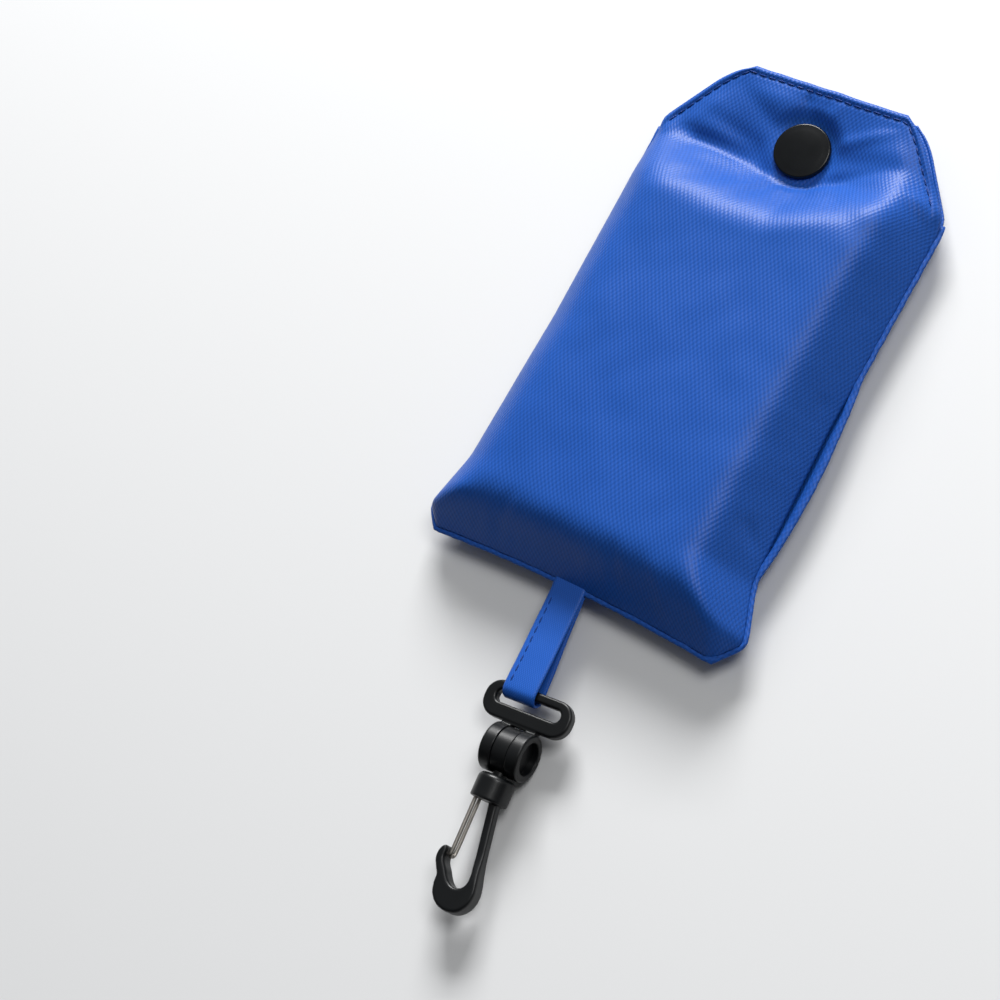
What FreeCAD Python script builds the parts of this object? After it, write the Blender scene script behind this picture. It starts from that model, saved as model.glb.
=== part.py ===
import FreeCAD
import Part
import os
import Sketcher

# Foldable tote bag packed in its own snap pouch, with a webbing loop and a swivel clip.
# Millimetres. +Z is up through the thickness, +Y runs from the bottom seam to the mouth, and the
# origin is the middle of the flat back. The loop and the clip lie in the plane of the seam.

document = FreeCAD.newDocument("FoldedTote")

# ---------------------------------------------------------------- driving dimensions
SIZES = {
    # pouch
    "pouch_width": 86.0,
    "pouch_length": 146.0,
    "pouch_thickness": 22.0,
    "seam_height": 6.7,
    "seam_thickness": 2.6,
    "seam_width": 3.5,
    "cloth": 0.8,
    "flank_wall": 1.0,
    "mouth_width": 50.0,
    "mouth_drop": 23.0,
    "lip_length": 43.0,
    "lip_flat": 25.5,
    "back_rise": 11.0,
    "hem_width": 5.0,
    "hem_thickness": 0.6,
    "front_taper": 32.0,
    "back_taper": 40.0,
    "front_round": 7.0,
    "back_round": 2.5,
    "cut_gap": 0.3,
    # how far a cutting outline reaches past what it cuts
    "past": 1.0,
    # folded tote
    "tote_gap": 1.2,
    "tote_past_fold": 8.4,
    "stack_taper": 28.0,
    "stack_round": 5.0,
    "stack_rise": 0.3,
    "handle_width": 20.0,
    "handle_from_fold": 7.2,
    "handle_from_end": 12.6,
    "handle_thickness": 1.9,
    "handle_spread": 28.0,
    "handle_room": 0.9,
    # snap fastener
    "snap_from_mouth": 18.0,
    "cap_width": 15.0,
    "cap_height": 2.2,
    "cap_round": 1.3,
    "back_cap_width": 12.0,
    "back_cap_height": 1.8,
    "socket_width": 11.0,
    "socket_floor": 0.6,
    "socket_bore": 5.0,
    "stud_width": 10.0,
    "stud_base": 0.5,
    "stud_head": 4.0,
    "post_width": 2.0,
    "post_gap": 0.05,
    "snap_gap": 0.25,
    # webbing loop
    "strap_offset": 1.0,
    "strap_width": 10.0,
    "strap_layer": 0.9,
    "strap_reach": 26.6,
    "strap_pivot": 1.1,
    "strap_root": 0.6,
    "strap_tail_length": 8.0,
    "strap_gap": 0.3,
    "strap_eye_gap": 0.4,
    "strap_closed": 3.0,
    "clip_yaw": 5.5,
    # slotted ring with its two cheeks
    "ring_offset": 3.2,
    "ring_slack": 8.6,
    "ring_bar": 2.4,
    "ring_foot": 4.0,
    "ring_side": 3.2,
    "slot_height": 3.2,
    "slot_end_flat": 0.2,
    "ring_depth": 3.2,
    "ring_corner": 4.3,
    "ring_edge": 0.7,
    "knuckle_drop": 15.0,
    "cheek_width": 11.4,
    "cheek_gap": 0.3,
    "cheek_radius": 6.2,
    "cheek_bore": 4.3,
    "cheek_edge": 0.4,
    # swivel stem
    "hub_gap": 0.2,
    "hub_radius": 5.9,
    "trunnion_gap": 0.08,
    "trunnion_reach": 3.8,
    "neck_radius": 1.9,
    "flange_radius": 3.1,
    "flange_height": 1.2,
    "swivel_gap": 0.1,
    # hook
    "collar_gap": 0.5,
    "collar_radius": 4.85,
    "collar_height": 6.7,
    "collar_round": 1.4,
    "collar_roof": 1.8,
    "spine_width": 2.3,
    "spine_depth": 3.0,
    "spine_in": 2.0,
    "spine_lean": 4.6,
    "lobe_radius": 5.8,
    "lobe_out": 2.1,
    "lobe_depth": 5.0,
    "hook_reach": 28.4,
    "bight_radius": 3.1,
    "bight_out": 1.9,
    "bight_floor": 6.1,
    "nose_in": 5.3,
    "nose_radius": 1.25,
    "nose_top": 13.3,
    "nose_length": 4.4,
    # wire gate
    "wire_radius": 0.5,
    "gate_spread": 2.4,
    "gate_in": 2.9,
    "gate_rise": 1.2,
    "gate_drop": 16.9,
    "gate_swing": 0.1,
    "gate_pin": 3.2,
    "gate_bore_gap": 0.06,
    "gate_slot_gap": 0.2,
    "gate_opening": 0.8,
}

sheet = document.addObject("Spreadsheet::Sheet", "Sizes")
for row, (alias, number) in enumerate(SIZES.items(), start=1):
    sheet.set(f"A{row}", alias)
    sheet.set(f"B{row}", str(number))
    sheet.setAlias(f"B{row}", alias)
document.recompute()


def sized(formula):
    """The formula with every alias pointed at the sheet."""
    words = []
    word = ""
    for letter in formula + " ":
        if letter.isalnum() or letter == "_":
            word += letter
            continue
        words.append(f"Sizes.{word}" if word in SIZES else word)
        words.append(letter)
        word = ""
    return "".join(words).strip()


def bind(thing, prop, formula):
    thing.setExpression(prop, sized(formula))


def value(formula):
    """The formula's number now."""
    result = sheet.evalExpression(sized(formula))
    return float(getattr(result, "Value", result))


# derived places, each a formula of the sizes
HALF_WIDTH = "(pouch_width / 2)"
BOTTOM = "(0 - pouch_length / 2)"
MOUTH = "(pouch_length / 2)"
SHOULDER = "(pouch_length / 2 - mouth_drop)"
HALF_MOUTH = "(mouth_width / 2)"
HINGE = "(pouch_length / 2 - lip_length)"
SNAP_Y = "(pouch_length / 2 - snap_from_mouth)"
BACK_TOP = "(seam_height - seam_thickness / 2)"
FRONT_FOOT = "(seam_height + seam_thickness / 2)"
STRAP_AXIS_Y = "(0 - pouch_length / 2 - strap_pivot)"
STACK_FOOT = "(seam_height + stack_rise + snap_gap)"
STACK_END = "(0 - pouch_length / 2 + strap_tail_length + tote_gap)"
STACK_TOP = "(pouch_thickness - cloth - handle_room - handle_thickness)"


# ---------------------------------------------------------------- modelling helpers
def new_body(label):
    body = document.addObject("PartDesign::Body", label)
    body.Label = label
    return body


def sketch_on(body, role, name, height=None):
    """An empty sketch on one of the body's own origin planes, raised along its normal."""
    plane = next(f for f in body.Origin.OriginFeatures if f.Role == role)
    sketch = body.newObject("Sketcher::SketchObject", f"{body.Name}_{name}")
    sketch.AttachmentSupport = (plane, [""])
    sketch.MapMode = "FlatFace"
    if height is not None:
        bind(sketch, "AttachmentOffset.Base.z", height)
    return sketch


def pin_point(sketch, geometry, position, across, along):
    """Fix one point of a sketch at two formulas."""
    for kind, formula in (("DistanceX", across), ("DistanceY", along)):
        index = sketch.addConstraint(
            Sketcher.Constraint(kind, -1, 1, geometry, position, value(formula))
        )
        bind(sketch, f"Constraints[{index}]", formula)


def polygon(sketch, corners):
    """A closed outline through corners, each a pair of formulas."""
    spots = [FreeCAD.Vector(value(x), value(y), 0) for x, y in corners]
    first = sketch.GeometryCount
    count = len(spots)
    for i in range(count):
        sketch.addGeometry(Part.LineSegment(spots[i], spots[(i + 1) % count]))
    for i in range(count):
        after = first + (i + 1) % count
        sketch.addConstraint(Sketcher.Constraint("Coincident", first + i, 2, after, 1))
    for i, (x, y) in enumerate(corners):
        pin_point(sketch, first + i, 1, x, y)


def circle(sketch, x, y, radius):
    centre = FreeCAD.Vector(value(x), value(y), 0)
    shape = Part.Circle(centre, FreeCAD.Vector(0, 0, 1), value(radius))
    geometry = sketch.addGeometry(shape)
    pin_point(sketch, geometry, 3, x, y)
    index = sketch.addConstraint(Sketcher.Constraint("Radius", geometry, value(radius)))
    bind(sketch, f"Constraints[{index}]", radius)


def pad(body, sketch, length, both=False, taper=None, down=False):
    feature = body.newObject("PartDesign::Pad", f"{sketch.Name}_pad")
    feature.Profile = sketch
    bind(feature, "Length", length)
    if both:
        feature.SideType = "Symmetric"
    if taper is not None:
        bind(feature, "TaperAngle", taper)
    feature.Reversed = down
    return feature


def pocket(body, sketch, length, both=False, down=False):
    document.recompute()
    before = body.Shape.Volume
    feature = body.newObject("PartDesign::Pocket", f"{sketch.Name}_pocket")
    feature.Profile = sketch
    bind(feature, "Length", length)
    if both:
        feature.SideType = "Symmetric"
    feature.Reversed = down
    document.recompute()
    if body.Shape.Volume > before - 0.01:
        raise RuntimeError(f"{feature.Name} cuts nothing")
    return feature


def turned(body, sketch, axis="V_Axis"):
    """The sketch turned once round one of its own axes."""
    feature = body.newObject("PartDesign::Revolution", f"{sketch.Name}_turn")
    feature.Profile = sketch
    feature.ReferenceAxis = (sketch, [axis])
    feature.Angle = 360
    return feature


def rounded(body, wanted, radius):
    """Fillet the tip's edges that wanted picks."""
    document.recompute()
    tip = body.Tip
    names = [f"Edge{i}" for i, edge in enumerate(tip.Shape.Edges, 1) if wanted(edge)]
    feature = body.newObject("PartDesign::Fillet", f"{tip.Name}_fillet")
    feature.Base = (tip, names)
    bind(feature, "Radius", radius)
    return feature


def ends_at(edge, axis, level):
    """Do all of the edge's points lie at one level along an axis?"""
    points = edge.discretize(5)
    return all(abs(getattr(point, axis) - level) < 1e-4 for point in points)


def runs_along(edge, axis):
    if len(edge.Vertexes) < 2 or edge.Curve.TypeId != "Part::GeomLine":
        return False
    step = edge.Vertexes[1].Point - edge.Vertexes[0].Point
    return abs(abs(getattr(step, axis)) - step.Length) < 1e-6


def place(body, x="0", y="0", z="0", yaw=None):
    bind(body, "Placement.Base.x", x)
    bind(body, "Placement.Base.y", y)
    bind(body, "Placement.Base.z", z)
    if yaw is not None:
        turn = FreeCAD.Rotation(FreeCAD.Vector(0, 0, 1), 1)
        body.Placement = FreeCAD.Placement(body.Placement.Base, turn)
        bind(body, "Placement.Rotation.Angle", yaw)


def combined(kind, label, base, tool):
    """Part::Cut or Part::Common of two objects."""
    result = document.addObject(f"Part::{kind}", label)
    result.Label = label
    result.Base = base
    result.Tool = tool
    return result


def slab(label, low_y, high_y):
    """A box over the whole width and height between two levels of Y."""
    box = document.addObject("Part::Box", label)
    bind(box, "Length", "pouch_width * 2")
    bind(box, "Width", f"({high_y}) - ({low_y})")
    bind(box, "Height", "pouch_thickness * 2")
    bind(box, "Placement.Base.x", "0 - pouch_width")
    bind(box, "Placement.Base.y", low_y)
    bind(box, "Placement.Base.z", "0 - pouch_thickness / 2")
    return box


# ---------------------------------------------------------------- pouch panels
def plan(inset):
    """The pouch's outline seen from above, drawn in by a formula."""
    side = f"{HALF_WIDTH} - {inset}"
    mouth = f"{HALF_MOUTH} - {inset}"
    top = f"{MOUTH} - {inset}"
    low = f"{BOTTOM} + {inset}"
    return [
        (f"0 - ({side})", low),
        (side, low),
        (side, SHOULDER),
        (mouth, top),
        (f"0 - ({mouth})", top),
        (f"0 - ({side})", SHOULDER),
    ]


def front_pillow(name, inset, top, fillet):
    """The front half's padded block, with leaning flanks and a rounded top."""
    body = new_body(name)
    sketch = sketch_on(body, "XY_Plane", "plan", FRONT_FOOT)
    polygon(sketch, plan(inset))
    pad(body, sketch, f"{top} - {FRONT_FOOT}", taper="0 - front_taper")
    level = value(top)
    rounded(body, lambda edge: ends_at(edge, "z", level), fillet)
    return body


def side_block(name, corners):
    """A block across the whole width with the given side view."""
    body = new_body(name)
    sketch = sketch_on(body, "YZ_Plane", "side")
    polygon(sketch, corners)
    pad(body, sketch, "pouch_width * 1.5", both=True)
    return body


def front_shell():
    """The front panel and its lip in one: level, then down to the flat lip at the mouth."""
    flat_start = f"{MOUTH} - lip_flat"
    slope = f"(pouch_thickness - {FRONT_FOOT} - cloth) / (lip_length - lip_flat)"
    wall = f"cloth * sqrt(1 + ({slope})^2)"
    outer = side_block(
        "front_side_outer",
        [
            (f"{BOTTOM} - past", f"{FRONT_FOOT} - past"),
            (f"{MOUTH} + past", f"{FRONT_FOOT} - past"),
            (f"{MOUTH} + past", f"{FRONT_FOOT} + cloth"),
            (flat_start, f"{FRONT_FOOT} + cloth"),
            (HINGE, "pouch_thickness"),
            (f"{BOTTOM} - past", "pouch_thickness"),
        ],
    )
    run = f"(pouch_thickness - {wall} - {FRONT_FOOT}) / ({slope})"
    inner = side_block(
        "front_side_inner",
        [
            (f"{BOTTOM} - past", f"{FRONT_FOOT} - past"),
            (f"{HINGE} + {run} + past / ({slope})", f"{FRONT_FOOT} - past"),
            (f"{HINGE} - ({wall} - cloth) / ({slope})", "pouch_thickness - cloth"),
            (f"{BOTTOM} - past", "pouch_thickness - cloth"),
        ],
    )
    block = front_pillow("front_block", "0", "pouch_thickness", "front_round")
    hollow = front_pillow(
        "front_hollow", "flank_wall", "pouch_thickness - cloth", "front_round - cloth"
    )
    solid = combined("Common", "front_solid", block, outer)
    cavity = combined("Common", "front_cavity", hollow, inner)
    return combined("Cut", "front_shell", solid, cavity)


def back_pillow(name, inset, floor, fillet):
    body = new_body(name)
    sketch = sketch_on(body, "XY_Plane", "plan", BACK_TOP)
    polygon(sketch, plan(inset))
    pad(body, sketch, f"{BACK_TOP} - {floor}", taper="0 - back_taper", down=True)
    level = value(floor)
    rounded(body, lambda edge: ends_at(edge, "z", level), fillet)
    return body


def back_panel():
    """A shallow tray whose floor rises to the flat back lip."""
    flat_start = f"{MOUTH} - lip_flat"
    rise = f"({BACK_TOP} - cloth) / back_rise"
    outer = side_block(
        "back_side_outer",
        [
            (f"{BOTTOM} - past", "0"),
            (f"{flat_start} - back_rise", "0"),
            (flat_start, f"{BACK_TOP} - cloth"),
            (f"{MOUTH} + past", f"{BACK_TOP} - cloth"),
            (f"{MOUTH} + past", f"{BACK_TOP} + past"),
            (f"{BOTTOM} - past", f"{BACK_TOP} + past"),
        ],
    )
    inner = side_block(
        "back_side_inner",
        [
            (f"{BOTTOM} - past", "cloth"),
            (f"{flat_start} - back_rise", "cloth"),
            (f"{flat_start} + past / ({rise})", f"{BACK_TOP} + past"),
            (f"{BOTTOM} - past", f"{BACK_TOP} + past"),
        ],
    )
    block = back_pillow("back_block", "0", "0", "back_round")
    hollow = back_pillow("back_hollow", "flank_wall", "cloth", "back_round - cloth")
    solid = combined("Common", "back_solid", block, outer)
    cavity = combined("Common", "back_cavity", hollow, inner)
    shell = combined("Cut", "back_shell", solid, cavity)
    hole = document.addObject("Part::Cylinder", "back_lip_hole")
    bind(hole, "Radius", "post_width / 2 + 2 * post_gap")
    bind(hole, "Height", "pouch_thickness")
    bind(hole, "Placement.Base.y", SNAP_Y)
    return combined("Cut", "back_panel", shell, hole)


def front_panels():
    shell = front_shell()
    lower = slab("front_lower_zone", f"{BOTTOM} - past", HINGE)
    upper = slab("front_upper_zone", f"{HINGE} + cut_gap", f"{MOUTH} + past")
    combined("Common", "front_panel", shell, lower)
    lip = combined("Common", "front_lip_whole", shell, upper)
    hole = document.addObject("Part::Cylinder", "front_lip_hole")
    bind(hole, "Radius", "post_width / 2 + 2 * post_gap")
    bind(hole, "Height", "pouch_thickness")
    bind(hole, "Placement.Base.y", SNAP_Y)
    combined("Cut", "front_lip", lip, hole)


def mouth_hem(label, level):
    """The turned edge along the mouth's three free sides."""
    lean = f"sqrt(1 + ((pouch_width - mouth_width) / 2 / mouth_drop)^2)"
    slope = "((pouch_width - mouth_width) / 2 / mouth_drop)"
    body = new_body(label)
    sketch = sketch_on(body, "XY_Plane", "outer", level)
    polygon(
        sketch,
        [
            (f"0 - {HALF_WIDTH} + cut_gap", SHOULDER),
            (f"{HALF_WIDTH} - cut_gap", SHOULDER),
            (f"{HALF_MOUTH} - cut_gap", f"{MOUTH} - cut_gap"),
            (f"0 - {HALF_MOUTH} + cut_gap", f"{MOUTH} - cut_gap"),
        ],
    )
    pad(body, sketch, "hem_thickness")
    base = f"{HALF_WIDTH} - hem_width * {lean}"
    peak = f"{base} - (mouth_drop - hem_width) * {slope}"
    inner = sketch_on(body, "XY_Plane", "inner", level)
    polygon(
        inner,
        [
            (f"0 - ({base} + {slope} * past)", f"{SHOULDER} - past"),
            (f"{base} + {slope} * past", f"{SHOULDER} - past"),
            (peak, f"{MOUTH} - hem_width"),
            (f"0 - ({peak})", f"{MOUTH} - hem_width"),
        ],
    )
    pocket(body, inner, "hem_thickness", down=True)


def side_seam(label, side):
    """The stitched edges of both panels down one side, side is 1 or -1."""
    body = new_body(label)
    sketch = sketch_on(body, "XY_Plane", "plan", f"{BACK_TOP} + snap_gap / 5")
    inner = f"{side} * ({HALF_WIDTH} - seam_width)"
    outer = f"{side} * {HALF_WIDTH}"
    corners = [
        (inner, BOTTOM),
        (outer, BOTTOM),
        (outer, f"{SHOULDER} - cut_gap"),
        (inner, f"{SHOULDER} - cut_gap"),
    ]
    polygon(sketch, corners if side > 0 else corners[::-1])
    pad(body, sketch, "seam_thickness - snap_gap * 2 / 5")


def bottom_seam():
    """The stitched edges along the bottom, with room for the loop's sewn-in tail."""
    body = new_body("bottom_seam")
    foot = f"{BACK_TOP} + snap_gap / 5"
    sketch = sketch_on(body, "XY_Plane", "plan", foot)
    reach = f"{HALF_WIDTH} - seam_width - cut_gap"
    polygon(
        sketch,
        [
            (f"0 - ({reach})", BOTTOM),
            (reach, BOTTOM),
            (reach, f"{BOTTOM} + seam_width"),
            (f"0 - ({reach})", f"{BOTTOM} + seam_width"),
        ],
    )
    pad(body, sketch, "seam_thickness - snap_gap * 2 / 5")
    notch = sketch_on(body, "XY_Plane", "notch", "seam_height - strap_layer - snap_gap / 2")
    side = "(strap_width / 2 + cut_gap)"
    polygon(
        notch,
        [
            (f"strap_offset - {side}", f"{BOTTOM} - past"),
            (f"strap_offset + {side}", f"{BOTTOM} - past"),
            (f"strap_offset + {side}", f"{BOTTOM} + seam_width + past"),
            (f"strap_offset - {side}", f"{BOTTOM} + seam_width + past"),
        ],
    )
    pocket(body, notch, "seam_thickness", down=True)


# ---------------------------------------------------------------- folded tote
def tote_block(label, foot, height, half_width, low, high, taper, fillet):
    body = new_body(label)
    sketch = sketch_on(body, "XY_Plane", "plan", foot)
    polygon(
        sketch,
        [
            (f"0 - ({half_width})", low),
            (half_width, low),
            (half_width, high),
            (f"0 - ({half_width})", high),
        ],
    )
    pad(body, sketch, height, taper=taper)
    level = value(f"{foot} + {height}")
    rounded(body, lambda edge: ends_at(edge, "z", level), fillet)
    return body


def folded_tote():
    """The layers sewn to the pouch, the stack that pulls out, and its two folded handles."""
    edge = f"{HALF_WIDTH} - seam_width - tote_gap"
    tote_block(
        "tote_sewn_fold",
        "cloth + snap_gap",
        f"{STACK_FOOT} - cloth - snap_gap * 2",
        f"{edge} - back_round",
        STACK_END,
        f"{HINGE} + cut_gap",
        None,
        "cloth",
    )
    tote_block(
        "tote_stack",
        STACK_FOOT,
        f"{STACK_TOP} - ({STACK_FOOT})",
        edge,
        STACK_END,
        f"{HINGE} + tote_past_fold",
        "0 - stack_taper",
        "stack_round",
    )
    for label, side in (("tote_handle_left", "-1"), ("tote_handle_right", "1")):
        body = new_body(label)
        sketch = sketch_on(body, "XY_Plane", "plan", f"{STACK_TOP} + snap_gap / 5")
        middle = f"{side} * handle_spread / 2"
        first = f"{STACK_END} + handle_from_end"
        last = f"{HINGE} - handle_from_fold"
        polygon(
            sketch,
            [
                (f"{middle} - handle_width / 2", first),
                (f"{middle} + handle_width / 2", first),
                (f"{middle} + handle_width / 2", last),
                (f"{middle} - handle_width / 2", last),
            ],
        )
        pad(body, sketch, "handle_thickness - snap_gap / 5")
        rounded(body, lambda edge: runs_along(edge, "z"), "handle_thickness")


# ---------------------------------------------------------------- snap fastener
def snap_fastener():
    post = "(post_width / 2)"
    bore = "(post_width / 2 + post_gap)"
    grip = "(cloth + socket_floor)"

    cap = new_body("snap_cap")
    sketch = sketch_on(cap, "XZ_Plane", "profile")
    polygon(
        sketch,
        [
            ("0", "cap_height"),
            ("cap_width / 2", "cap_height"),
            ("cap_width / 2", "0"),
            (post, "0"),
            (post, f"0 - {grip}"),
            (f"{post} * 1.5", f"0 - {grip}"),
            (f"{post} * 1.5", f"0 - {grip} - post_gap * 3"),
            ("0", f"0 - {grip} - post_gap * 3"),
        ],
    )
    turned(cap, sketch)
    level = value("cap_height")
    rounded(cap, lambda edge: ends_at(edge, "z", level), "cap_round")
    place(cap, "0", SNAP_Y, f"{FRONT_FOOT} + cloth")

    socket = new_body("snap_socket")
    depth = "(seam_thickness - stud_base - snap_gap)"
    sketch = sketch_on(socket, "XZ_Plane", "profile")
    polygon(
        sketch,
        [
            (bore, "0"),
            ("socket_width / 2", "0"),
            ("socket_width / 2", f"0 - {depth}"),
            ("socket_bore / 2", f"0 - {depth}"),
            ("socket_bore / 2", "0 - socket_floor"),
            (bore, "0 - socket_floor"),
        ],
    )
    turned(socket, sketch)
    place(socket, "0", SNAP_Y, FRONT_FOOT)

    stud = new_body("snap_stud")
    head = "(seam_thickness - socket_floor - snap_gap * 3)"
    sketch = sketch_on(stud, "XZ_Plane", "profile")
    polygon(
        sketch,
        [
            (bore, "0"),
            ("stud_width / 2", "0"),
            ("stud_width / 2", "stud_base"),
            ("stud_head / 2 - post_gap * 4", "stud_base"),
            ("stud_head / 2", f"{head} - post_gap * 6"),
            ("stud_head / 2 - post_gap * 6", head),
            (bore, head),
        ],
    )
    turned(stud, sketch)
    place(stud, "0", SNAP_Y, BACK_TOP)

    back_cap = new_body("snap_back_cap")
    sketch = sketch_on(back_cap, "XZ_Plane", "profile")
    polygon(
        sketch,
        [
            ("0", "0 - back_cap_height"),
            ("back_cap_width / 2", "0 - back_cap_height"),
            ("back_cap_width / 2", "0"),
            (post, "0"),
            (post, f"cloth + {head}"),
            ("0", f"cloth + {head}"),
        ],
    )
    turned(back_cap, sketch)
    low = value("0 - back_cap_height")
    rounded(back_cap, lambda edge: ends_at(edge, "z", low), "cap_round")
    place(back_cap, "0", SNAP_Y, f"{BACK_TOP} - cloth")


# ---------------------------------------------------------------- webbing loop
def strap():
    """The loop's sewn-in tail, and the free loop round the ring's bar."""
    tail = new_body("strap_tail")
    sketch = sketch_on(tail, "XY_Plane", "plan", "0 - strap_layer")
    side = "strap_width / 2"
    polygon(
        sketch,
        [
            (f"0 - {side}", "strap_pivot - strap_gap"),
            (side, "strap_pivot - strap_gap"),
            (side, "strap_tail_length"),
            (f"0 - {side}", "strap_tail_length"),
        ],
    )
    pad(tail, sketch, "strap_layer * 2")
    place(tail, "strap_offset", STRAP_AXIS_Y, "seam_height")

    loop = new_body("strap_loop")
    inner = "(ring_depth / 2 + strap_eye_gap)"
    outer = f"({inner} + strap_layer)"
    lean = f"asin(({outer} - strap_layer) / strap_reach)"
    legs = sketch_on(loop, "YZ_Plane", "legs")
    polygon(
        legs,
        [
            ("0 - strap_root", "0 - strap_layer"),
            ("0 - strap_root", "strap_layer"),
            (f"{outer} * sin({lean}) - strap_reach", f"{outer} * cos({lean})"),
            (f"{outer} * sin({lean}) - strap_reach", f"0 - {outer} * cos({lean})"),
        ],
    )
    pad(loop, legs, "strap_width", both=True)
    turn = sketch_on(loop, "YZ_Plane", "turn")
    circle(turn, "0 - strap_reach", "0", outer)
    pad(loop, turn, "strap_width", both=True)
    eye = sketch_on(loop, "YZ_Plane", "eye")
    circle(eye, "0 - strap_reach", "0", inner)
    pocket(loop, eye, "strap_width * 2", both=True)
    gap = sketch_on(loop, "YZ_Plane", "gap")
    polygon(
        gap,
        [
            ("0 - strap_closed", "0 - post_gap"),
            ("0 - strap_closed", "post_gap"),
            (f"{inner} * sin({lean}) - strap_reach", f"{inner} * cos({lean})"),
            (f"{inner} * sin({lean}) - strap_reach", f"0 - {inner} * cos({lean})"),
        ],
    )
    pocket(loop, gap, "strap_width * 2", both=True)
    place(loop, "strap_offset", STRAP_AXIS_Y, "seam_height", "clip_yaw")


# ---------------------------------------------------------------- swivel clip
RING_WIDTH = "(strap_width + ring_slack + ring_side * 2)"
CHEEK_SPLIT = "(neck_radius * 2 + cheek_gap * 2)"
KNUCKLE_Y = "(0 - strap_reach - knuckle_drop)"
COLLAR_TOP = "(0 - cheek_radius - collar_gap)"
COLLAR_FOOT = "(0 - cheek_radius - collar_gap - collar_height)"


def along_clip(body, distance, across="ring_offset"):
    """Put a body at a distance down the clip's centre line, turned to lie along it."""
    place(
        body,
        f"strap_offset + ({across}) * cos(clip_yaw) - ({distance}) * sin(clip_yaw)",
        f"{STRAP_AXIS_Y} + ({across}) * sin(clip_yaw) + ({distance}) * cos(clip_yaw)",
        "seam_height",
        "clip_yaw",
    )


def clip_ring():
    """A flat slotted ring, a web, and the two bored cheeks of the knuckle."""
    ring = new_body("clip_ring")
    top = "ring_bar / 2"
    foot = "(0 - ring_bar / 2 - slot_height - ring_foot)"
    plate = sketch_on(ring, "XY_Plane", "plate")
    polygon(
        plate,
        [
            (f"0 - {RING_WIDTH} / 2", foot),
            (f"{RING_WIDTH} / 2", foot),
            (f"{RING_WIDTH} / 2", top),
            (f"0 - {RING_WIDTH} / 2", top),
        ],
    )
    pad(ring, plate, "ring_depth", both=True)
    corner = value(f"{RING_WIDTH} / 2")
    rounded(
        ring,
        lambda edge: runs_along(edge, "z") and abs(abs(edge.Vertexes[0].X) - corner) < 1e-4,
        "ring_corner",
    )
    slot = sketch_on(ring, "XY_Plane", "slot")
    inner = "((strap_width + ring_slack) / 2)"
    slot_top = "0 - ring_bar / 2"
    slot_foot = "0 - ring_bar / 2 - slot_height"
    polygon(
        slot,
        [
            (f"0 - {inner}", slot_foot),
            (inner, slot_foot),
            (inner, slot_top),
            (f"0 - {inner}", slot_top),
        ],
    )
    pocket(ring, slot, "ring_depth * 2", both=True)
    half = value(inner)
    rounded(
        ring,
        lambda edge: runs_along(edge, "z") and abs(abs(edge.Vertexes[0].X) - half) < 1e-4,
        "(slot_height - slot_end_flat) / 2",
    )
    face = value("ring_depth / 2")
    rounded(
        ring,
        lambda edge: ends_at(edge, "z", face) or ends_at(edge, "z", -face),
        "ring_edge",
    )
    web = sketch_on(ring, "XY_Plane", "web")
    web_side = "(cheek_width / 2 - cheek_edge * 2)"
    polygon(
        web,
        [
            (f"0 - {web_side}", "0 - knuckle_drop + cheek_radius / 2"),
            (web_side, "0 - knuckle_drop + cheek_radius / 2"),
            (web_side, f"{foot} + ring_foot / 2"),
            (f"0 - {web_side}", f"{foot} + ring_foot / 2"),
        ],
    )
    pad(ring, web, "ring_depth - cheek_edge", both=True)
    barrel = sketch_on(ring, "XY_Plane", "barrel")
    bind(barrel, "AttachmentOffset.Base.y", "0 - knuckle_drop")
    rim = "cheek_width / 2"
    polygon(
        barrel,
        [
            (f"0 - {rim}", "cheek_bore / 2"),
            (rim, "cheek_bore / 2"),
            (rim, "cheek_radius - cheek_edge"),
            (f"{rim} - cheek_edge", "cheek_radius"),
            (f"cheek_edge - {rim}", "cheek_radius"),
            (f"0 - {rim}", "cheek_radius - cheek_edge"),
        ],
    )
    turned(ring, barrel, "H_Axis")
    bore = sketch_on(ring, "YZ_Plane", "bore")
    circle(bore, "0 - knuckle_drop", "0", "cheek_bore")
    pocket(ring, bore, "cheek_width * 2", both=True)
    split = sketch_on(ring, "YZ_Plane", "split")
    circle(split, "0 - knuckle_drop", "0", "cheek_radius + swivel_gap")
    pocket(ring, split, CHEEK_SPLIT, both=True)
    along_clip(ring, "0 - strap_reach")


def swivel_stem():
    """The hub in the cheeks, its neck, and the flange held inside the hook's collar."""
    stem = new_body("swivel_stem")
    hub = sketch_on(stem, "YZ_Plane", "hub")
    circle(hub, "0", "0", "hub_radius")
    pad(stem, hub, f"{CHEEK_SPLIT} - hub_gap * 2", both=True)
    trunnion = sketch_on(stem, "YZ_Plane", "trunnion")
    circle(trunnion, "0", "0", "cheek_bore - trunnion_gap")
    pad(stem, trunnion, "trunnion_reach * 2", both=True)
    neck = sketch_on(stem, "XZ_Plane", "neck")
    circle(neck, "0", "0", "neck_radius")
    flange_top = f"({COLLAR_TOP} - collar_roof - swivel_gap)"
    pad(stem, neck, f"0 - {flange_top} + flange_height / 2")
    flange = sketch_on(stem, "XZ_Plane", "flange", f"0 - {flange_top}")
    circle(flange, "0", "0", "flange_radius")
    pad(stem, flange, "flange_height")
    along_clip(stem, KNUCKLE_Y)


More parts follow.
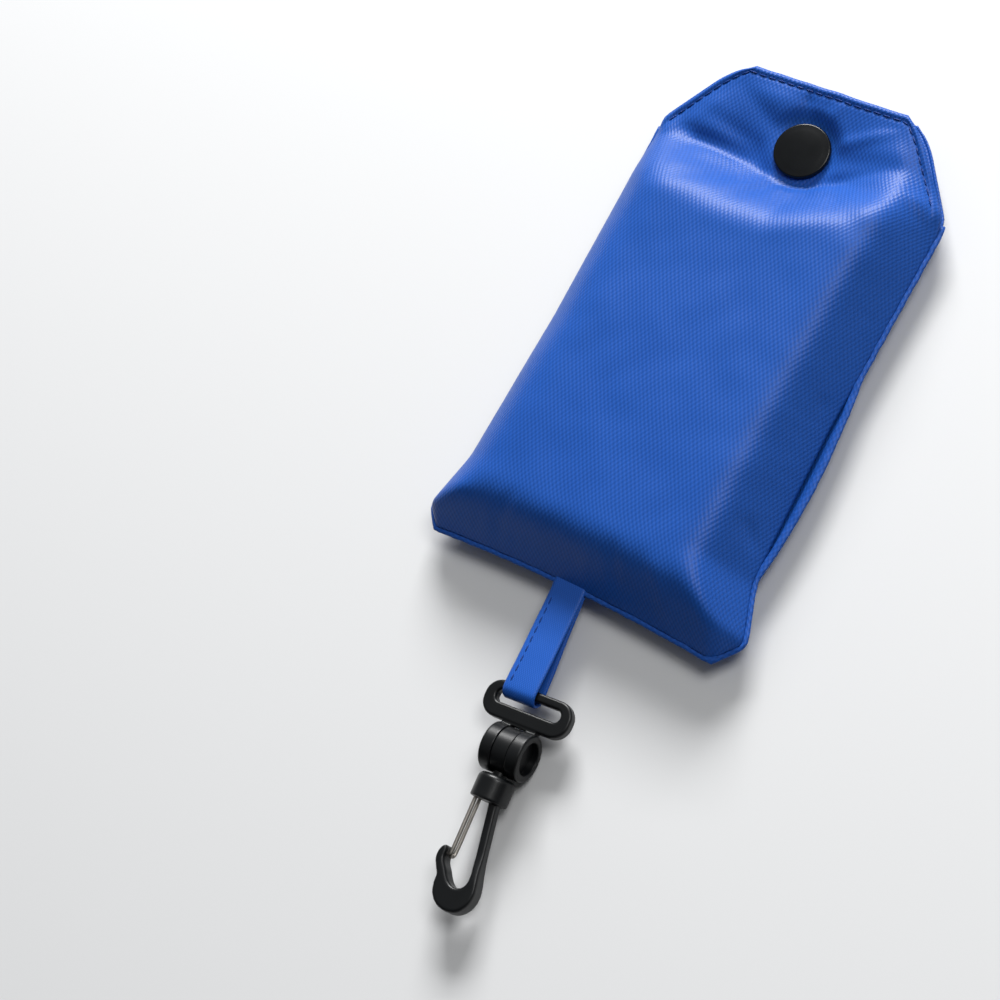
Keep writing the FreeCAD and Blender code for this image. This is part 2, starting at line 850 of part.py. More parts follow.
def hook_body():
    """Collar, spine, lobed bight and nose, with the gate's slot and pin bores."""
    hook = new_body("hook_body")
    lobe_y = f"({COLLAR_FOOT} - hook_reach + lobe_radius)"
    lobe = sketch_on(hook, "XY_Plane", "lobe")
    circle(lobe, "lobe_out", lobe_y, "lobe_radius")
    pad(hook, lobe, "lobe_depth", both=True)

    nose_head = f"({COLLAR_FOOT} - nose_top - nose_radius)"
    nose = sketch_on(hook, "XY_Plane", "nose")
    polygon(
        nose,
        [
            ("0 - nose_in - nose_radius", nose_head),
            ("0 - nose_in - nose_radius", f"{nose_head} - nose_length"),
            ("lobe_out - lobe_radius + nose_radius / 2", lobe_y),
            ("lobe_out - lobe_radius + nose_radius", lobe_y),
            ("0 - nose_in + nose_radius", nose_head),
        ],
    )
    pad(hook, nose, "lobe_depth", both=True)
    tip = sketch_on(hook, "XY_Plane", "tip")
    circle(tip, "0 - nose_in", nose_head, "nose_radius")
    pad(hook, tip, "lobe_depth", both=True)

    bight_y = f"({COLLAR_FOOT} - hook_reach + bight_floor + bight_radius)"
    bight = sketch_on(hook, "XY_Plane", "bight")
    circle(bight, "bight_out", bight_y, "bight_radius")
    pocket(hook, bight, "lobe_depth * 2", both=True)
    gap = sketch_on(hook, "XY_Plane", "gap")
    polygon(
        gap,
        [
            ("bight_out - bight_radius", bight_y),
            ("bight_out + bight_radius", bight_y),
            ("bight_out + bight_radius", f"{COLLAR_FOOT} - nose_top / 2"),
            ("0 - nose_in + nose_radius", f"{COLLAR_FOOT} - nose_top / 2"),
            ("0 - nose_in + nose_radius", nose_head),
        ],
    )
    pocket(hook, gap, "lobe_depth * 2", both=True)
    spine = sketch_on(hook, "XY_Plane", "spine")
    half = "spine_width / 2"
    polygon(
        spine,
        [
            (f"spine_in - {half}", f"{COLLAR_FOOT} + collar_round"),
            (f"spine_in + {half}", f"{COLLAR_FOOT} + collar_round"),
            (f"spine_in + spine_lean + {half}", lobe_y),
            (f"spine_in + spine_lean - {half}", lobe_y),
        ],
    )
    pad(hook, spine, "spine_depth", both=True)

    collar = sketch_on(hook, "XZ_Plane", "collar", f"0 - {COLLAR_TOP}")
    circle(collar, "0", "0", "collar_radius")
    pad(hook, collar, "collar_height")
    roof = value(COLLAR_TOP)
    rounded(hook, lambda edge: ends_at(edge, "y", roof), "collar_round")

    throat = sketch_on(hook, "XZ_Plane", "throat", f"0 - {COLLAR_TOP} - past")
    circle(throat, "0", "0", "neck_radius + swivel_gap")
    pocket(hook, throat, "collar_roof + flange_height + past", down=True)
    chamber = sketch_on(hook, "XZ_Plane", "chamber", f"0 - {COLLAR_TOP} + collar_roof")
    circle(chamber, "0", "0", "flange_radius + swivel_gap")
    pocket(hook, chamber, "flange_height + swivel_gap * 2", down=True)

    slot = sketch_on(hook, "XY_Plane", "gate_slot")
    pivot_y = f"({COLLAR_FOOT} + gate_rise)"
    room = "(wire_radius + gate_slot_gap)"
    polygon(
        slot,
        [
            ("0 - collar_radius - past", f"{COLLAR_FOOT} - past"),
            (f"0 - gate_in + {room} + gate_rise / 2", f"{COLLAR_FOOT} - past"),
            (f"0 - gate_in + {room}", f"{pivot_y} + {room}"),
            ("0 - collar_radius - past", f"{pivot_y} + {room}"),
        ],
    )
    pocket(hook, slot, f"gate_spread + {room} * 2", both=True)
    bores = sketch_on(hook, "XY_Plane", "gate_bores")
    circle(bores, "0 - gate_in", pivot_y, "wire_radius + gate_bore_gap")
    pocket(hook, bores, "gate_pin * 2 + gate_bore_gap * 2", both=True)
    along_clip(hook, KNUCKLE_Y)


def wire_gate():
    """One bent wire: two pivot pins, two legs and the bar that shuts inside the nose."""
    gate = new_body("wire_gate")
    top = "0"
    foot = "(0 - gate_drop)"
    side = "(gate_spread / 2)"
    away = "(0 - gate_swing)"
    pins = sketch_on(gate, "XY_Plane", "pins")
    circle(pins, "0", top, "wire_radius")
    pad(gate, pins, "gate_pin * 2", both=True)
    middle = sketch_on(gate, "XY_Plane", "middle")
    circle(middle, "0", top, "gate_opening")
    pocket(gate, middle, "gate_spread", both=True)
    bar = sketch_on(gate, "XY_Plane", "bar")
    circle(bar, away, foot, "wire_radius")
    pad(gate, bar, "gate_spread + wire_radius * 2", both=True)
    lean = "atan(gate_swing / gate_drop)"
    across = f"(wire_radius * cos({lean}))"
    along = f"(wire_radius * sin({lean}))"
    legs = sketch_on(gate, "XY_Plane", "legs")
    polygon(
        legs,
        [
            (f"0 - {across}", along),
            (across, f"0 - {along}"),
            (f"{away} + {across}", f"{foot} - {along}"),
            (f"{away} - {across}", f"{foot} + {along}"),
        ],
    )
    pad(gate, legs, "gate_spread + wire_radius * 2", both=True)
    gap = sketch_on(gate, "XY_Plane", "gap")
    shift = "(wire_radius * 2)"
    polygon(
        gap,
        [
            (f"0 - {shift}", f"{shift}"),
            (f"{shift}", f"{shift}"),
            (f"{away} + {shift}", f"{foot} + wire_radius"),
            (f"{away} - {shift}", f"{foot} + wire_radius"),
        ],
    )
    pocket(gate, gap, "gate_spread - wire_radius * 2", both=True)
    along_clip(gate, f"{KNUCKLE_Y} + {COLLAR_FOOT} + gate_rise", "ring_offset - gate_in")


front_panels()
back_panel()
mouth_hem("front_mouth_hem", f"{FRONT_FOOT} - hem_thickness")
mouth_hem("back_mouth_hem", BACK_TOP)
side_seam("left_seam", -1)
side_seam("right_seam", 1)
bottom_seam()
folded_tote()
snap_fastener()
strap()
clip_ring()
swivel_stem()
hook_body()
wire_gate()
document.recompute()

NODES = [
    "front_panel",
    "front_lip",
    "front_mouth_hem",
    "back_panel",
    "back_mouth_hem",
    "left_seam",
    "right_seam",
    "bottom_seam",
    "tote_sewn_fold",
    "tote_stack",
    "tote_handle_left",
    "tote_handle_right",
    "snap_cap",
    "snap_socket",
    "snap_stud",
    "snap_back_cap",
    "strap_tail",
    "strap_loop",
    "clip_ring",
    "swivel_stem",
    "hook_body",
    "wire_gate",
]

faults = [f"{thing.Label}: {thing.State}" for thing in document.Objects
          if "Invalid" in thing.State or "Error" in thing.State]
subparts = {name: document.getObjectsByLabel(name)[0] for name in NODES}
for name, thing in subparts.items():
    shape = thing.Shape
    if shape.isNull() or not shape.isValid() or len(shape.Solids) != 1:
        faults.append(f"{name}: bad shape with {len(shape.Solids)} solids")
if faults:
    raise RuntimeError("; ".join(faults))

os.makedirs("parts", exist_ok=True)
for name, thing in subparts.items():
    thing.Shape.exportStep(f"parts/{name}.step")
    low = thing.Shape.optimalBoundingBox(False)
    print(f"{name:18s} {thing.Shape.Volume:9.1f} mm3  X {low.XMin:7.2f} {low.XMax:7.2f}"
          f"  Y {low.YMin:7.2f} {low.YMax:7.2f}  Z {low.ZMin:6.2f} {low.ZMax:6.2f}")
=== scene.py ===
import math
import random

import bmesh
import bpy
from mathutils import Matrix, Vector, noise


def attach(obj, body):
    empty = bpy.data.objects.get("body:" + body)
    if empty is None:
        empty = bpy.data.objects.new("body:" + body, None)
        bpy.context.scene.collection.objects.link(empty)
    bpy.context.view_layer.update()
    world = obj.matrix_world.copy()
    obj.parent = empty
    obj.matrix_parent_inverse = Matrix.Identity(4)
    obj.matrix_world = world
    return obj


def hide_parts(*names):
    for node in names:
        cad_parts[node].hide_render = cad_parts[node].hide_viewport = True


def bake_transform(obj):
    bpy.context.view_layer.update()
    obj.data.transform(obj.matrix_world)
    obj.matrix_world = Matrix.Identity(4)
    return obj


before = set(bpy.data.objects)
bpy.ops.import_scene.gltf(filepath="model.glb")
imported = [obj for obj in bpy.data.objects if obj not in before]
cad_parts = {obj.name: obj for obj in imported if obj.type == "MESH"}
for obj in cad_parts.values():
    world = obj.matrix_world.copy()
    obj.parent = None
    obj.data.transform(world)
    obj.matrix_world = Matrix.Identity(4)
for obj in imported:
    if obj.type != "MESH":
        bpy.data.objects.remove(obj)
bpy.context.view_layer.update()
mm = 0.001


# shared mesh helpers

def smoothStep(low, high, value):
    t = min(1.0, max(0.0, (value - low) / (high - low)))
    return t * t * (3 - 2 * t)


def softMin(a, b, softness):
    h = min(1.0, max(0.0, 0.5 + 0.5 * (b - a) / softness))
    return b + (a - b) * h - softness * h * (1 - h)


def alongTable(table, at):
    # straight between neighbours, with a soft bend at each
    total = 0
    for step in (-1.2, -0.6, 0, 0.6, 1.2):
        spot = at + step
        if spot <= table[0][0]:
            total += table[0][1]
            continue
        for (y0, w0), (y1, w1) in zip(table, table[1:]):
            if spot <= y1:
                total += w0 + (w1 - w0) * (spot - y0) / (y1 - y0)
                break
        else:
            total += table[-1][1]
    return total / 5


def newObject(name, vertices, faces, flat=None):
    # vertices in millimetres, flat is the cloth's own place of each vertex
    mesh = bpy.data.meshes.new(name)
    mesh.from_pydata([[c * mm for c in v] for v in vertices], [], faces)
    mesh.shade_smooth()
    if flat is not None:
        layer = mesh.attributes.new("clothPlace", "FLOAT_VECTOR", "POINT")
        layer.data.foreach_set("vector", [c * mm for spot in flat for c in (spot[0], spot[1], 0)])
    made = bpy.data.objects.new(name, mesh)
    bpy.context.scene.collection.objects.link(made)
    return made


def applyModifiers(made):
    bpy.context.view_layer.update()
    graph = bpy.context.evaluated_depsgraph_get()
    finished = bpy.data.meshes.new_from_object(made.evaluated_get(graph), depsgraph=graph)
    made.modifiers.clear()
    made.data = finished
    finished.shade_smooth()


def gridFaces(rows, columns, flip=False):
    faces = []
    for i in range(rows - 1):
        for j in range(columns - 1):
            a = i * columns + j
            face = (a, a + 1, a + columns + 1, a + columns)
            faces.append(face[::-1] if flip else face)
    return faces


# materials

cloth = {
    "colour": (0.0125, 0.082, 0.375),
    "shade": (0.0095, 0.066, 0.315),
    "roughness": 0.41,
    "sheen": 0.02,
    "pitchAcross": 1.22,
    "pitchAlong": 1.95,
    "weaveDepth": 0.034,
}


def nodeMaker(material):
    tree = material.node_tree

    def make(kind, **settings):
        node = tree.nodes.new(kind)
        for key, value in settings.items():
            if key.startswith("in"):
                node.inputs[int(key[2:])].default_value = value
            else:
                setattr(node, key, value)
        return node

    return tree, make


def newMaterial(name):
    material = bpy.data.materials.new(name)
    material.use_nodes = True
    shader = material.node_tree.nodes["Principled BSDF"]
    return material, shader


def wovenCloth(name, settings, placeFromCloth=True):
    material, shader = newMaterial(name)
    tree, make = nodeMaker(material)
    link = tree.links.new
    if placeFromCloth:
        place = make("ShaderNodeAttribute", attribute_name="clothPlace").outputs["Vector"]
    else:
        place = make("ShaderNodeTexCoord").outputs["Object"]
    wobble = make("ShaderNodeTexNoise")
    wobble.inputs["Scale"].default_value = 160
    wobble.inputs["Detail"].default_value = 2
    link(place, wobble.inputs["Vector"])
    shift = make("ShaderNodeVectorMath", operation="MULTIPLY_ADD")
    link(wobble.outputs["Color"], shift.inputs[0])
    shift.inputs[1].default_value = (0.00035, 0.00035, 0)
    link(place, shift.inputs[2])
    split = make("ShaderNodeSeparateXYZ")
    link(shift.outputs[0], split.inputs[0])
    waves = []
    for output, pitch in (("X", settings["pitchAcross"]), ("Y", settings["pitchAlong"])):
        turn = make("ShaderNodeMath", operation="MULTIPLY", in1=2 * math.pi / (pitch * mm))
        link(split.outputs[output], turn.inputs[0])
        wave = make("ShaderNodeMath", operation="SINE")
        link(turn.outputs[0], wave.inputs[0])
        waves.append(wave)
    nubs = make("ShaderNodeMath", operation="MULTIPLY")
    link(waves[0].outputs[0], nubs.inputs[0])
    link(waves[1].outputs[0], nubs.inputs[1])
    threads = make("ShaderNodeTexNoise")
    threads.inputs["Scale"].default_value = 2600
    threads.inputs["Detail"].default_value = 1
    link(place, threads.inputs["Vector"])
    height = make("ShaderNodeMath", operation="MULTIPLY_ADD", in1=0.35)
    link(threads.outputs["Fac"], height.inputs[0])
    link(nubs.outputs[0], height.inputs[2])
    bump = make("ShaderNodeBump")
    bump.inputs["Strength"].default_value = 1.0
    bump.inputs["Distance"].default_value = settings["weaveDepth"] * mm
    link(height.outputs[0], bump.inputs["Height"])
    link(bump.outputs[0], shader.inputs["Normal"])

    patches = make("ShaderNodeTexNoise")
    patches.inputs["Scale"].default_value = 45
    patches.inputs["Detail"].default_value = 5
    link(place, patches.inputs["Vector"])
    dye = make("ShaderNodeMix", data_type="RGBA")
    dye.inputs[6].default_value = (*settings["shade"], 1)
    dye.inputs[7].default_value = (*settings["colour"], 1)
    link(patches.outputs["Fac"], dye.inputs[0])
    # painted shade: the base colour is darkened in the weave's pits and made a little lighter on the nub tops,
    # standing in for the shade the weave's relief would cast
    paintedPitShade = make("ShaderNodeMapRange")
    paintedPitShade.inputs["From Min"].default_value = -1
    paintedPitShade.inputs["From Max"].default_value = 0.6
    paintedPitShade.inputs["To Min"].default_value = 0.77
    paintedPitShade.inputs["To Max"].default_value = 1.06
    link(nubs.outputs[0], paintedPitShade.inputs["Value"])
    tint = make("ShaderNodeVectorMath", operation="SCALE")
    link(dye.outputs[2], tint.inputs[0])
    link(paintedPitShade.outputs[0], tint.inputs["Scale"])
    link(tint.outputs[0], shader.inputs["Base Color"])
    rough = make("ShaderNodeMapRange")
    rough.inputs["To Min"].default_value = settings["roughness"] - 0.05
    rough.inputs["To Max"].default_value = settings["roughness"] + 0.07
    link(patches.outputs["Fac"], rough.inputs["Value"])
    link(rough.outputs[0], shader.inputs["Roughness"])
    shader.inputs["Specular IOR Level"].default_value = 0.2
    shader.inputs["Sheen Weight"].default_value = settings["sheen"]
    shader.inputs["Sheen Roughness"].default_value = 0.45
    shader.inputs["Sheen Tint"].default_value = (0.35, 0.55, 1, 1)
    return material


plastic = {
    "colour": (0.0030, 0.0036, 0.0042),
    "roughness": 0.36,
    "gloss": 0.3,
    "grain": 0.02,
}


def mouldedPlastic(name, settings):
    material, shader = newMaterial(name)
    tree, make = nodeMaker(material)
    link = tree.links.new
    place = make("ShaderNodeTexCoord").outputs["Object"]
    grain = make("ShaderNodeTexNoise")
    grain.inputs["Scale"].default_value = 1400
    grain.inputs["Detail"].default_value = 3
    link(place, grain.inputs["Vector"])
    flow = make("ShaderNodeTexNoise")
    flow.inputs["Scale"].default_value = 120
    flow.inputs["Detail"].default_value = 2
    link(place, flow.inputs["Vector"])
    both = make("ShaderNodeMath", operation="MULTIPLY_ADD", in1=0.4)
    link(grain.outputs["Fac"], both.inputs[0])
    link(flow.outputs["Fac"], both.inputs[2])
    bump = make("ShaderNodeBump")
    bump.inputs["Strength"].default_value = 0.6
    bump.inputs["Distance"].default_value = settings["grain"] * mm
    link(both.outputs[0], bump.inputs["Height"])
    link(bump.outputs[0], shader.inputs["Normal"])
    rough = make("ShaderNodeMapRange")
    rough.inputs["To Min"].default_value = settings["roughness"] - 0.06
    rough.inputs["To Max"].default_value = settings["roughness"] + 0.08
    link(flow.outputs["Fac"], rough.inputs["Value"])
    link(rough.outputs[0], shader.inputs["Roughness"])
    tone = make("ShaderNodeMix", data_type="RGBA")
    tone.inputs[6].default_value = (*[c * 0.8 for c in settings["colour"]], 1)
    tone.inputs[7].default_value = (*[c * 1.3 for c in settings["colour"]], 1)
    link(flow.outputs["Fac"], tone.inputs[0])
    link(tone.outputs[2], shader.inputs["Base Color"])
    shader.inputs["Specular IOR Level"].default_value = settings["gloss"]
    return material


def drawnWire(name, colour, roughness):
    material, shader = newMaterial(name)
    tree, make = nodeMaker(material)
    link = tree.links.new
    place = make("ShaderNodeTexCoord").outputs["Object"]
    streaks = make("ShaderNodeTexNoise")
    streaks.inputs["Scale"].default_value = 900
    link(place, streaks.inputs["Vector"])
    rough = make("ShaderNodeMapRange")
    rough.inputs["To Min"].default_value = roughness - 0.08
    rough.inputs["To Max"].default_value = roughness + 0.12
    link(streaks.outputs["Fac"], rough.inputs["Value"])
    link(rough.outputs[0], shader.inputs["Roughness"])
    tone = make("ShaderNodeMix", data_type="RGBA")
    tone.inputs[6].default_value = (*[c * 0.75 for c in colour], 1)
    tone.inputs[7].default_value = (*colour, 1)
    link(streaks.outputs["Fac"], tone.inputs[0])
    link(tone.outputs[2], shader.inputs["Base Color"])
    shader.inputs["Metallic"].default_value = 1
    return material


pouchCloth = wovenCloth("pouchCloth", cloth)
threadCloth = wovenCloth("threadBlue", {
    **cloth, "colour": (0.007, 0.045, 0.24), "shade": (0.005, 0.03, 0.17),
    "pitchAcross": 0.3, "pitchAlong": 0.3, "weaveDepth": 0.03}, False)
clipPlastic = mouldedPlastic("clipPlastic", plastic)
capPlastic = mouldedPlastic("capPlastic", {**plastic, "roughness": 0.24, "gloss": 0.26, "grain": 0.012})
# the webbing's own finer weave; its colours are about a fifth lighter than the pouch cloth's, painted light that
# makes up for the shade the loop lies in
litLoopCloth = wovenCloth("litLoopCloth", {
    **cloth, "colour": (0.016, 0.10, 0.45), "shade": (0.012, 0.08, 0.38),
    "pitchAcross": 0.62, "pitchAlong": 0.9, "weaveDepth": 0.02})
gateSteel = drawnWire("gateSteel", (0.45, 0.42, 0.38), 0.32)
print("materials made")


# pouch: one cloth shell, front and back

pouch = {
    "seamHeight": 6.7,
    "frontTop": 22.0,
    "flankRun": 15.0,
    "leftRun": 17.5,
    "leftPuff": 1.65,
    "edgeLeft": [(-75.5, 39.8), (-68.0, 45.8), (-53, 42.2), (-10, 41.1), (44, 41.6), (51.5, 41.8), (66.5, 30.4),
                 (70.5, 26.2), (72, 23.6), (73, 20.5)],
    "edgeRight": [(-74.0, 43.0), (-65.8, 49.4), (-52, 44.0), (-10, 42.6), (47, 43.2), (51.5, 42.4), (67.5, 30.2),
                  (71, 26.6), (72.3, 24.6), (73, 22.6)],
    "bottomBow": 1.6,
    "clothThick": 0.7,
    "snap": (0.0, 55.0),
    "stitchIn": 1.9,
    "lipRise": 0.22,
    "lipShort": 0.065,
}
bottomEdge = -73.0
mouthEdge = 73.0


def outlineSpot(u, v):
    # u from -1 to 1 across, v from 0 at the bottom seam to 1 at the mouth
    y = bottomEdge + (mouthEdge - bottomEdge) * v
    width = alongTable(pouch["edgeRight"] if u > 0 else pouch["edgeLeft"], y)
    return u * width, y, width


def spacing(total, edge, fine, coarse):
    # places from 0 to total, closer together within edge of both ends
    steps = []
    at = 0
    while at < total:
        near = min(at, total - at)
        at += fine if near < edge else min(coarse, fine + (near - edge) * 0.35)
        steps.append(at)
    return [0] + [s * total / steps[-1] for s in steps]


def mouthDistance(x, y, width):
    # how far inside the mouth's free edges a spot is
    if y < 50:
        return 99
    return min((width - abs(x)) * 0.787, mouthEdge - y)


# cloth folds: from, to, half width, height
frontFolds = [
    ((-9, 47.5), (-27, 45.5), 2.6, 0.75),
    ((-8, 51.5), (-30, 57), 2.2, -0.65),
    ((-7, 58), (-22, 66), 2.0, -0.45),
    ((-3, 64), (-4, 71), 1.5, -0.55),
    ((3.5, 64.5), (5.5, 71), 1.6, 0.35),
    ((9, 60), (21, 66.5), 1.2, 0.65),
    ((9, 56), (27, 59), 2.4, -0.55),
    ((7, 46.5), (20, 47), 2.2, 0.7),
    ((-2, 45.5), (-5, 36), 1.5, -0.45),
    ((-5, 44.5), (-10, 37), 1.3, 0.4),
    ((5, 45), (7, 38), 1.5, 0.35),
    ((-12, 41), (-30, 33), 3.0, -0.45),
    ((16, 44), (32, 36), 3.2, -0.4),
    ((36, 52), (43, 47), 1.6, 0.5),
    ((-36, 52), (-43, 46), 1.6, 0.4),
    ((38, -40), (43, -46), 1.4, -0.6),
    ((39.5, -4), (43, -9), 1.3, -0.45),
    ((-20, -60), (-23, -71), 1.8, -0.35),
    ((12, -61), (15, -71), 1.7, -0.45),
    ((24, -60), (30, -70), 1.9, 0.4),
    ((-34, -62), (-41, -70), 2.0, 0.5),
]


def foldHeight(x, y):
    total = 0
    for (x0, y0), (x1, y1), half, height in frontFolds:
        dx, dy = x1 - x0, y1 - y0
        length = math.hypot(dx, dy)
        t = ((x - x0) * dx + (y - y0) * dy) / length ** 2
        if not -0.4 < t < 1.4:
            continue
        off = ((x - x0) * dy - (y - y0) * dx) / length
        ends = smoothStep(-0.35, 0.15, t) * smoothStep(1.35, 0.6, t) if t < 1.35 else 0
        total += height * ends * math.exp(-(off / half) ** 2)
    return total


def wrinkle(x, y, size, seed):
    return noise.noise(Vector((x / size, y / size, seed)))


def frontTop(x, y, width):
    # height of the front cloth's outer face
    side = width - abs(x)
    low = y - bottomEdge
    run = pouch["flankRun"]
    flank = softMin(1.22 * side / run, 1, 0.36)
    if x < 0:
        # the left side is puffed out over its seam
        share = min(1.0, side / pouch["leftRun"])
        puff = pouch["leftPuff"]
        flank = (1 - (1 - share) ** puff) ** (1 / puff)
    foot = softMin(1.22 * low / run, 1, 0.42)
    body = softMin(flank, foot, 0.22)
    body = max(0.0, min(body, 1.0))
    # where the pillow comes down to the lip, lowest under the snap
    footLine = 47.2 + 0.5 * max(0.0, x - 6) + 0.10 * max(0.0, -x - 8) + 0.35 * max(0.0, -x - 30)
    down = max(0.0, softMin(1.42 * (footLine - y) / 21, 1, 0.45)) if y < footLine else 0.0
    down = down if y > footLine - 34 else 1.0
    ridge = 1 + 0.05 * math.exp(-((y - 33) / 7) ** 2) * (0.6 + 0.4 * math.cos(x / 9))
    edgeLevel = 7.05 + 1.75 * smoothStep(46, 53, y)
    crown = 0.9 * (1 - (x / 43) ** 2) * (1 - (y / 90) ** 2)
    z = edgeLevel + (pouch["frontTop"] - 0.9 - edgeLevel) * body * down * ridge + crown * body * down
    # the lip stands open a little either side of the snap
    inside = min(1.0, mouthDistance(x, y, width) / 7) if y > 50 else 1.0
    inside = smoothStep(0, 1, inside)
    lip = 1 - down
    z += lip * pouch["lipRise"] * max(0.0, y - 50)
    z += lip * inside * 2.6 * math.exp(-((x - 27) / 10) ** 2 - ((y - 57) / 9) ** 2)
    z += lip * inside * 1.8 * math.exp(-((x + 27) / 9) ** 2 - ((y - 55) / 9) ** 2)
    z += lip * inside * 0.9 * math.exp(-((x + 12) / 7) ** 2 - ((y - 66) / 5) ** 2)
    return z


def frontSpot(u, v):
    x, y, width = outlineSpot(u, v)
    z = frontTop(x, y, width)
    side = width - abs(x)
    calm = smoothStep(0, 5, min(side, y - bottomEdge, mouthDistance(x, y, width)))
    near = math.hypot(x - pouch["snap"][0], y - pouch["snap"][1])
    free = smoothStep(7.5, 11, near)
    z += calm * free * foldHeight(x, y)
    z += calm * (0.38 * wrinkle(x, y, 19, 1) + 0.16 * wrinkle(x, y, 8, 4))
    # puckers that run in from the seams
    seamNear = math.exp(-side / 3.5) if y < 48 else 0
    z += 0.28 * seamNear * calm * wrinkle(0, y, 2.6, 7)
    seamNear = math.exp(-(y - bottomEdge) / 4.5)
    z += 0.38 * seamNear * calm * wrinkle(x, 0, 3.1, 9)
    # the snap pulls its seat flat and tips it a little
    seat = 9.0 - 0.11 * (x - pouch["snap"][0]) + 0.05 * (y - pouch["snap"][1])
    z += (seat - z) * (1 - smoothStep(7.2, 12.5, near))
    # turned hem: a soft step at the stitch line and a round outer edge
    edge = mouthDistance(x, y, width)
    if edge < 8:
        z -= 0.42 * math.exp(-((edge - pouch["stitchIn"]) / 0.5) ** 2)
        z += 0.25 * (1 - smoothStep(pouch["stitchIn"], pouch["stitchIn"] + 0.6, edge))
        z -= 0.45 * (1 - smoothStep(0, 0.9, edge))
    bow = pouch["bottomBow"] * (1 - (x / 43) ** 2) * (1 - smoothStep(0, 30, y - bottomEdge))
    wave = 0.35 * wrinkle(x, 0, 7, 3) * (1 - smoothStep(0, 10, mouthEdge - y))
    return x, y + bow + wave - pouch["lipShort"] * max(0.0, y - 50), z


def clothGrid(spotAt, columns, rows):
    # vertices over the outline and their places on the flat cloth
    vertices = [spotAt(u, v) for v in rows for u in columns]
    count = len(columns)
    across = []
    for i in range(len(rows)):
        row = vertices[i * count:(i + 1) * count]
        runs = [0]
        for a, b in zip(row, row[1:]):
            runs.append(runs[-1] + math.dist(a, b))
        across.append([r - runs[-1] / 2 for r in runs])
    along = [[0] * count]
    for i in range(1, len(rows)):
        step = []
        for j in range(count):
            step.append(math.dist(vertices[i * count + j], vertices[(i - 1) * count + j]))
        middle = sum(step) / count
        along.append([p + 0.5 * (s + middle) for p, s in zip(along[-1], step)])
    flat = [(across[i][j], along[i][j]) for i in range(len(rows)) for j in range(count)]
    return vertices, flat


def clothShell(name, spotAt, inward, flip):
    columns = [2 * s / 86 - 1 for s in spacing(86, 4.5, 0.42, 1.25)]
    rows = [s / 146 for s in spacing(146, 5, 0.42, 1.3)]
    vertices, flat = clothGrid(spotAt, columns, rows)
    made = newObject(name, vertices, gridFaces(len(rows), len(columns), flip), flat)
    thick = made.modifiers.new("thickness", "SOLIDIFY")
    thick.thickness = inward * mm
    thick.offset = -1
    applyModifiers(made)
    return made


frontCloth = clothShell("frontCloth", frontSpot, pouch["clothThick"], False)
frontCloth.data.materials.append(pouchCloth)
print("front cloth made", len(frontCloth.data.vertices))

back = {
    "floorRun": 11.0,
    "bulgeRight": 2.4,
    "bulgeFrom": -50,
    "bulgeTo": 6,
}


def backSpot(u, v):
    x, y, width = outlineSpot(u, v)
    side = width - abs(x)
    low = y - bottomEdge
    run = back["floorRun"]
    body = softMin(softMin(1.25 * side / run, 1, 0.4), softMin(1.25 * low / run, 1, 0.4), 0.2)
    body = max(0.0, min(1.0, body))
    rise = smoothStep(36, 48, y)
    edgeLevel = 6.35 - 1.35 * smoothStep(46, 53, y)
    z = edgeLevel * (1 - body) + (0.06 + (4.75 - 0.06) * rise) * body
    calm = smoothStep(0, 5, min(side, low, mouthDistance(x, y, width)))
    z += calm * smoothStep(0.2, 0.9, 1 - body + rise) * 0.3 * wrinkle(x, y, 9, 12)
    z += calm * rise * 0.35 * wrinkle(x, y, 14, 15)
    seamNear = math.exp(-side / 3.5) if y < 48 else 0
    z += 0.25 * seamNear * calm * wrinkle(0, y, 2.8, 17)
    z += 0.3 * math.exp(-low / 4) * calm * wrinkle(x, 0, 3.0, 19)
    z = max(z, 0.03)
    near = math.hypot(x - pouch["snap"][0], y - pouch["snap"][1])
    z += (4.65 - z) * (1 - smoothStep(6.5, 11, near))
    edge = mouthDistance(x, y, width)
    if edge < 8:
        z += 0.35 * math.exp(-((edge - pouch["stitchIn"]) / 0.5) ** 2)
        z += 0.3 * (1 - smoothStep(0, 0.9, edge))
    bow = pouch["bottomBow"] * (1 - (x / 43) ** 2) * (1 - smoothStep(0, 30, low))
    if u > 0:
        mid = (back["bulgeFrom"] + back["bulgeTo"]) / 2
        half = (back["bulgeTo"] - back["bulgeFrom"]) / 2
        x += back["bulgeRight"] * u ** 6 * max(0.0, 1 - ((y - mid) / half) ** 2)
    return x, y + bow, z


backCloth = clothShell("backCloth", backSpot, pouch["clothThick"], True)
backCloth.data.materials.append(pouchCloth)
print("back cloth made")


# tube, strip and stitch makers

def sweep(name, path, section):
    # skin a closed section along a path; each path item is (centre, sideways, upward)
    vertices, flat, faces = [], [], []
    count = len(section)
    run = 0
    last = None
    for centre, sideways, upward in path:
        if last is not None:
            run += (centre - last).length
        last = centre
        for a, b in section:
            vertices.append(tuple(centre + sideways * a + upward * b))
            flat.append((a, run))
    rings = len(path)
    for i in range(rings - 1):
        for j in range(count):
            a = i * count + j
            b = i * count + (j + 1) % count
            c = (i + 1) * count + (j + 1) % count
            d = (i + 1) * count + j
            faces.append((a, b, c, d))
    faces.append(tuple(reversed(range(count))))
    faces.append(tuple((rings - 1) * count + j for j in range(count)))
    return newObject(name, vertices, faces, flat)


def bandSection(width, thick, columns=16, edge=0.45):
    # a flat band's section with rounded edges
    half = width / 2
    top = []
    for j in range(columns + 1):
        a = -half + width * j / columns
        fall = max(0.0, 1 - (half - abs(a)) / edge)
        top.append((a, thick / 2 * math.sqrt(max(0.05, 1 - fall ** 2))))
    return top[::-1] + [(a, -b) for a, b in top]


